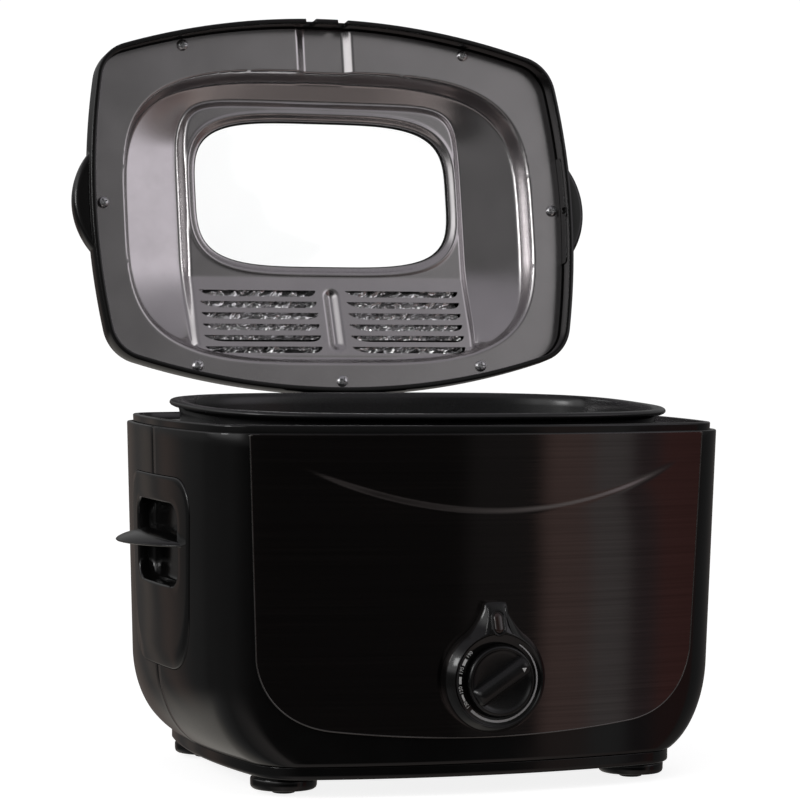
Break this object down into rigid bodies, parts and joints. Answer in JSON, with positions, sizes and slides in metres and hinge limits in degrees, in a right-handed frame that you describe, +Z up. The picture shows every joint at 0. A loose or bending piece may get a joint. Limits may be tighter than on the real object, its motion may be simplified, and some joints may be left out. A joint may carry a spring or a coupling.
{
  "type": "deep fryer",
  "caption": "Household deep fryer: rounded black body, brushed front panel with dial, lift-out bowl and basket, hinged windowed lid standing open.",
  "frame": {"origin": "bottom centre of the whole object's bounding box, with the lid open, on the surface the rubber foot pads stand on", "axes": "+X to the object's right seen from the front, +Y towards the hinge side at the rear, +Z up"},
  "size_m": [0.416, 0.3832, 0.5197],
  "materials": {
    "gloss_black_plastic": "glossy injection-moulded black, softly reflective",
    "satin_black_plastic": "fine satin black moulding",
    "black_brushed_steel": "black-tinted stainless sheet with fine horizontal brushing",
    "satin_stainless": "satin pressed stainless sheet",
    "bright_steel": "bright plated steel",
    "nonstick_black": "black non-stick coating, satin",
    "black_rubber": "matt black rubber",
    "clear_glass": "clear toughened glass",
    "indicator_amber": "dark translucent lens",
    "cast_aluminium": "raw cast and stamped metal",
    "cream_ceramic": "cream insulating block"
  },
  "bodies": {
    "housing": {"front_housing": "gloss_black_plastic", "rear_housing": "gloss_black_plastic", "base_plate": "satin_black_plastic", "top_collar": "gloss_black_plastic", "front_panel": "black_brushed_steel", "knob_bezel": "gloss_black_plastic", "indicator_lens": "indicator_amber", "handle_insert_left": "satin_black_plastic", "handle_insert_right": "satin_black_plastic", "foot_front_left": "satin_black_plastic", "foot_front_right": "satin_black_plastic", "foot_rear_left": "satin_black_plastic", "foot_rear_right": "satin_black_plastic", "foot_pad_front_left": "black_rubber", "foot_pad_front_right": "black_rubber", "foot_pad_rear_left": "black_rubber", "foot_pad_rear_right": "black_rubber", "hinge_bracket": "satin_black_plastic", "hinge_pin": "bright_steel", "cord_gland": "black_rubber", "inner_well": "satin_stainless", "heating_plate": "cast_aluminium", "heating_element": "bright_steel", "thermostat_body": "cast_aluminium", "thermal_cutout": "cast_aluminium", "terminal_block": "cream_ceramic"},
    "lid": {"lid_cover": "gloss_black_plastic", "lid_liner": "satin_stainless", "lid_hinge_lug": "satin_black_plastic", "lid_screw_front_left": "bright_steel", "lid_screw_front_right": "bright_steel", "lid_screw_side_left": "bright_steel", "lid_screw_side_right": "bright_steel", "lid_screw_rear_left": "bright_steel", "lid_screw_rear_middle": "bright_steel", "lid_screw_rear_right": "bright_steel", "window_gasket": "black_rubber", "window_glass": "clear_glass"},
    "filter": {"filter_cover": "satin_black_plastic", "grease_filter": "bright_steel"},
    "knob": {"thermostat_knob": "satin_black_plastic", "thermostat_shaft": "bright_steel"},
    "bowl": {"bowl": "nonstick_black"},
    "basket": {"basket": "bright_steel", "handle_bracket": "bright_steel"},
    "basket_handle": {"handle_wire_left": "bright_steel", "handle_wire_right": "bright_steel", "handle_grip": "satin_black_plastic"}
  },
  "joints": [
    {"name": "lid_hinge", "type": "hinge", "parent": "housing", "child": "lid", "pos_m": [0, 0.11064, 0.2435], "axis": [-1, 0, 0], "range_deg": [-100.6, 0]},
    {"name": "filter_lift", "type": "slide", "parent": "lid", "child": "filter", "axis": [0, 0.9829, -0.184], "range_m": [0, 0.05]},
    {"name": "thermostat_turn", "type": "hinge", "parent": "housing", "child": "knob", "pos_m": [0, -0.18156, 0.0752], "axis": [0, 1, 0], "range_deg": [0, 240]},
    {"name": "bowl_lift", "type": "slide", "parent": "housing", "child": "bowl", "axis": [0, 0, 1], "range_m": [0, 0.25]},
    {"name": "basket_lift", "type": "slide", "parent": "bowl", "child": "basket", "axis": [0, -0.0297, 0.9996], "range_m": [0, 0.2]},
    {"name": "basket_handle_fold", "type": "hinge", "parent": "basket", "child": "basket_handle", "pos_m": [0, -0.11907, 0.2218], "axis": [1, 0, 0], "range_deg": [0, 170]}
  ]
}
